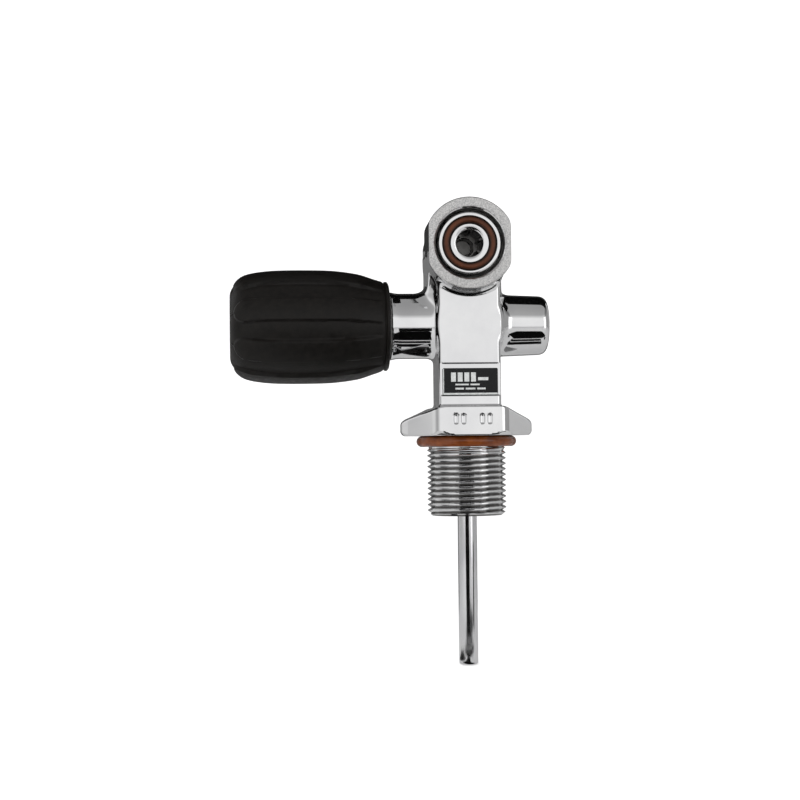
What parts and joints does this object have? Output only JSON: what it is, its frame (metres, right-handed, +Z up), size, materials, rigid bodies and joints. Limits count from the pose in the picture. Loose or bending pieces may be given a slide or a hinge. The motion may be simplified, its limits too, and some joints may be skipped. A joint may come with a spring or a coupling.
{
  "type": "scuba cylinder valve",
  "caption": "Chromed cylinder valve with a convertible outlet and threaded insert, ribbed rubber handwheel, safety plug, hex-flanged threaded neck, o-ring and dip tube.",
  "frame": {"origin": "neck axis at the underside of the hex flange, the plane that seats on the cylinder", "axes": "+Z up the valve along the neck axis, -Y out of the regulator outlet, -X out of the handwheel"},
  "size_m": [0.1059, 0.0382, 0.1542],
  "materials": {
    "chromed_brass": "bright chrome plate over forged brass, machined outlet face slightly duller",
    "chromed_tube": "bright chromed tube",
    "neck_seal": "satin brown fluoroelastomer",
    "face_seal": "satin brown fluoroelastomer",
    "inner_seal": "black nitrile",
    "bare_brass": "turned brass",
    "copper_disc": "soft copper sheet",
    "ptfe": "white low-friction plastic",
    "nylon_seat": "natural nylon",
    "stainless": "turned stainless steel",
    "grip_rubber": "moulded black rubber with a fine grain",
    "core_plastic": "black glass-filled nylon",
    "plate_print": "black enamelled foil with a thin pale edge"
  },
  "bodies": {
    "valve": {"valve_body": "chromed_brass", "dip_tube": "chromed_tube", "neck_o_ring": "neck_seal", "bonnet_nut": "chromed_brass", "bonnet_gasket": "ptfe", "stem_thrust_washer": "ptfe", "burst_plug": "chromed_brass", "burst_disc": "copper_disc", "burst_gasket": "ptfe", "rating_plate": "plate_print"},
    "stem": {"upper_stem": "bare_brass", "stem_o_ring": "inner_seal", "handwheel_nut": "stainless", "handwheel_spring": "stainless"},
    "handwheel": {"handwheel_core": "core_plastic", "handwheel_grip": "grip_rubber", "handwheel_washer": "ptfe"},
    "seat": {"seat_carrier": "bare_brass", "seat_disc": "nylon_seat"},
    "insert_seals": {"insert_face_o_ring": "face_seal", "insert_rear_o_ring": "inner_seal"},
    "insert": {"outlet_insert": "chromed_brass"}
  },
  "joints": [
    {"name": "stem_turn", "type": "hinge", "parent": "valve", "child": "stem", "pos_m": [0, 0, 0.0367], "axis": [-1, 0, 0], "range_deg": [0, 1080]},
    {"name": "handwheel_pull", "type": "slide", "parent": "stem", "child": "handwheel", "axis": [-1, 0, 0], "range_m": [0, 0.0015], "stiffness_N_per_m": 2500, "deforming": ["handwheel_spring"]},
    {"name": "seat_travel", "type": "slide", "parent": "stem", "child": "seat", "axis": [-1, 0, 0], "range_m": [0, 0.00382]},
    {"name": "insert_travel", "type": "slide", "parent": "valve", "child": "insert_seals", "axis": [0, -1, 0], "range_m": [0, 0.0201]},
    {"name": "insert_turn", "type": "hinge", "parent": "insert_seals", "child": "insert", "pos_m": [0, -0.008, 0.063], "axis": [0, -1, 0], "range_deg": [0, 3960]}
  ],
  "couplings": [
    {"joint": "seat_travel", "follows": "stem_turn", "m_per_rad": 0.00020213},
    {"joint": "insert_travel", "follows": "insert_turn", "m_per_rad": 0.00028875}
  ]
}
